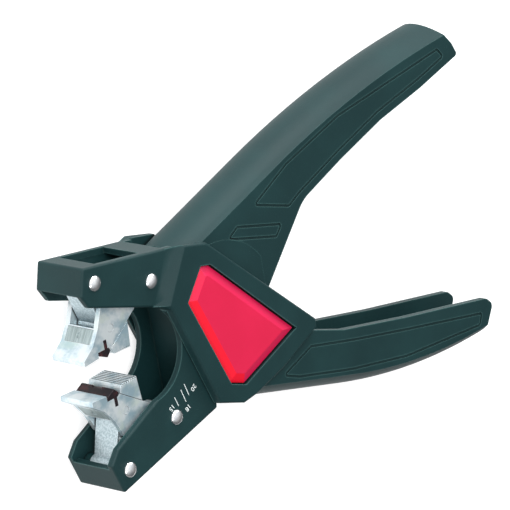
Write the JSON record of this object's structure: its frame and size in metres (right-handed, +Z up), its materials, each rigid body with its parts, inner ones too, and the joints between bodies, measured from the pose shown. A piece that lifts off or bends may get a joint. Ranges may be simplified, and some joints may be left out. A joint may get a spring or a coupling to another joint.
{
  "type": "wire stripper",
  "caption": "Automatic pliers-type wire stripper with two hollow jaw arms, clamping jaws with cutting blades, sprung handles and a bevelled red plate on each side.",
  "frame": {"origin": "where the pivot's axis meets the flat underside that the tool lies on", "axes": "+X along the tool from the pivot towards the handle ends, +Y across it towards the upper jaw arm, +Z up through the tool's thickness, away from the underside"},
  "size_m": [0.1718, 0.105, 0.0247],
  "materials": {
    "nylon": "moulded glass-filled nylon, fine grain",
    "label": "glossy red plate",
    "diecast": "die-cast, tumbled",
    "blade_steel": "dark oil-blackened steel",
    "rivet_steel": "bright domed heads",
    "link_steel": "zinc-plated steel",
    "spring_steel": "drawn spring wire"
  },
  "bodies": {
    "root": {"body_frame": "nylon", "front_label": "label", "rear_label": "label", "pivot_pin": "link_steel", "pivot_clip": "spring_steel", "return_spring": "spring_steel", "upper_front_rivet": "rivet_steel", "upper_rear_rivet": "rivet_steel", "upper_spacers": "nylon", "upper_slot_roller": "link_steel", "upper_jaw_spring": "spring_steel"},
    "lever": {"lever": "nylon", "pivot_bush": "link_steel", "lower_front_rivet": "rivet_steel", "lower_rear_rivet": "rivet_steel", "lower_spacers": "nylon", "lower_slot_roller": "link_steel", "lower_jaw_spring": "spring_steel"},
    "upper_link": {"upper_link": "link_steel", "upper_link_pin": "link_steel"},
    "upper_jaw": {"upper_jaw_block": "diecast", "upper_jaw_plate": "diecast", "upper_blade": "blade_steel"},
    "upper_shoe": {"upper_grip_shoe": "diecast"},
    "lower_link": {"lower_link": "link_steel", "lower_link_pin": "link_steel"},
    "lower_jaw": {"lower_jaw_block": "diecast", "lower_jaw_plate": "diecast", "lower_blade": "blade_steel"},
    "lower_shoe": {"lower_grip_shoe": "diecast"}
  },
  "joints": [
    {"name": "handle_squeeze", "type": "hinge", "parent": "root", "child": "lever", "pos_m": [0, 0, 0.01235], "axis": [0, 0, -1], "range_deg": [0, 27], "stiffness_Nm_per_rad": 0.8, "springref_deg": -17.19},
    {"name": "upper_link_swing", "type": "hinge", "parent": "root", "child": "upper_link", "pos_m": [-0.0467, 0.0293, 0.01235], "axis": [0, 0, 1], "range_deg": [0, 26], "deforming": ["upper_jaw_spring"]},
    {"name": "upper_jaw_tilt", "type": "hinge", "parent": "upper_link", "child": "upper_jaw", "pos_m": [-0.0415, 0.013, 0.01235], "axis": [0, 0, -1], "range_deg": [0, 39]},
    {"name": "upper_shoe_slide", "type": "slide", "parent": "upper_jaw", "child": "upper_shoe", "axis": [0.8271, 0.5621, 0], "range_m": [0, 0.005]},
    {"name": "lower_link_swing", "type": "hinge", "parent": "lever", "child": "lower_link", "pos_m": [-0.0467, -0.0293, 0.01235], "axis": [0, 0, -1], "range_deg": [0, 26], "deforming": ["lower_jaw_spring"]},
    {"name": "lower_jaw_tilt", "type": "hinge", "parent": "lower_link", "child": "lower_jaw", "pos_m": [-0.0415, -0.013, 0.01235], "axis": [0, 0, 1], "range_deg": [0, 39]},
    {"name": "lower_shoe_slide", "type": "slide", "parent": "lower_jaw", "child": "lower_shoe", "axis": [0.8271, -0.5621, 0], "range_m": [0, 0.005]}
  ],
  "couplings": [
    {"joint": "upper_link_swing", "follows": "handle_squeeze", "ratio": 0.93798},
    {"joint": "upper_jaw_tilt", "follows": "handle_squeeze", "ratio": 1.438},
    {"joint": "upper_shoe_slide", "follows": "handle_squeeze", "m_per_rad": 0.0106},
    {"joint": "lower_link_swing", "follows": "handle_squeeze", "ratio": 0.93798},
    {"joint": "lower_jaw_tilt", "follows": "handle_squeeze", "ratio": 1.438},
    {"joint": "lower_shoe_slide", "follows": "handle_squeeze", "m_per_rad": 0.0106}
  ]
}
